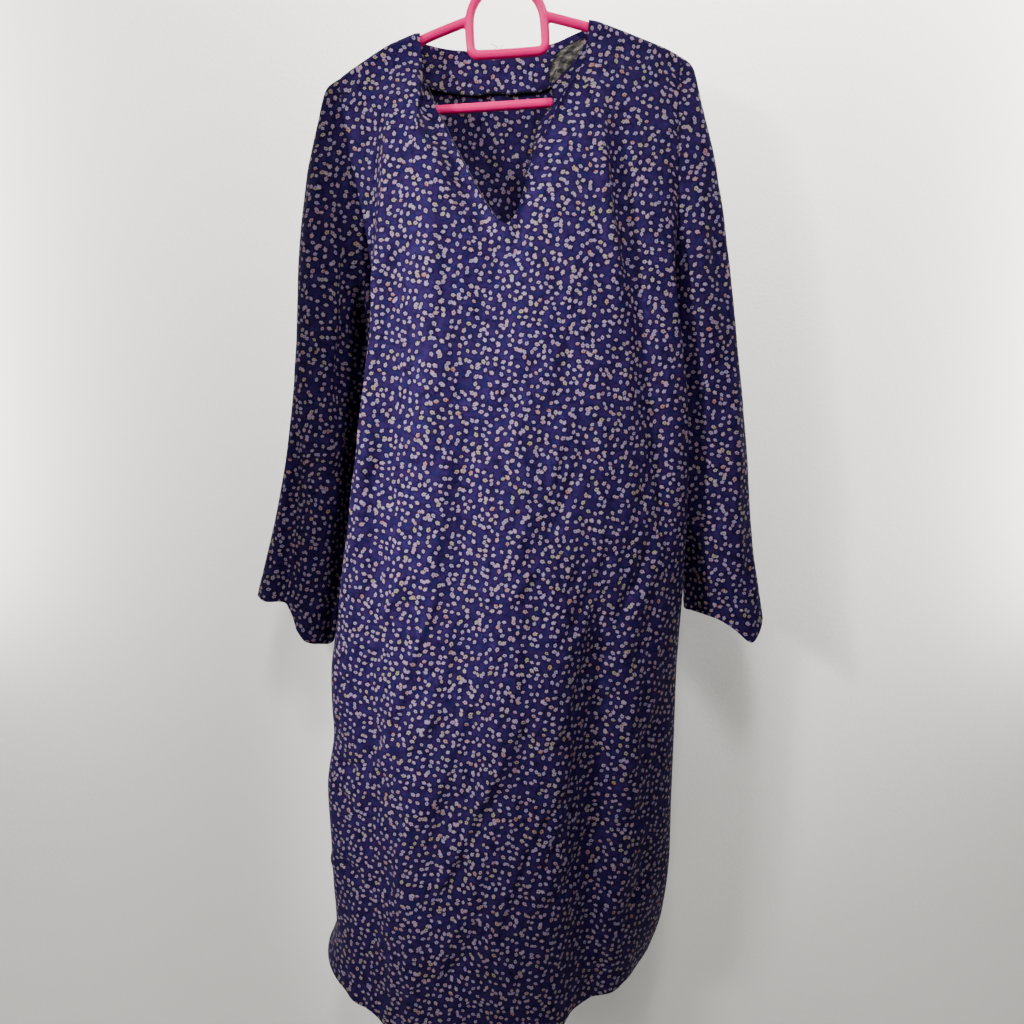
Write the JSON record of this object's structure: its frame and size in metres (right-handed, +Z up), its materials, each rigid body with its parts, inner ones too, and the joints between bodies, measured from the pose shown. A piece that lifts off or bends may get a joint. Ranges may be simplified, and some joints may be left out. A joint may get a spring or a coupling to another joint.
{
  "type": "baju kurung tunic on a clothes hanger",
  "caption": "Loose long-sleeved baju kurung tunic with a V neck in a small navy flower print, hanging from a pink moulded clothes hanger.",
  "frame": {"origin": "inner top of the hanger's hook, where it rests on a rod or hook", "axes": "+Z up, the garment's front faces -Y, +X to the viewer's right"},
  "size_m": [0.5449, 0.1508, 1.1506],
  "materials": {
    "printed_cloth": "matt crepe with a faint sheen",
    "facing_cloth": "matt crepe",
    "fusible_interfacing": "matt non-woven",
    "pink_plastic": "satin to gloss"
  },
  "bodies": {
    "root": {"front_panel": "printed_cloth", "back_panel": "printed_cloth", "sleeve_left": "printed_cloth", "sleeve_right": "printed_cloth", "back_neck_facing": "facing_cloth", "front_facing_flap": "fusible_interfacing", "hanger": "pink_plastic"}
  },
  "joints": []
}
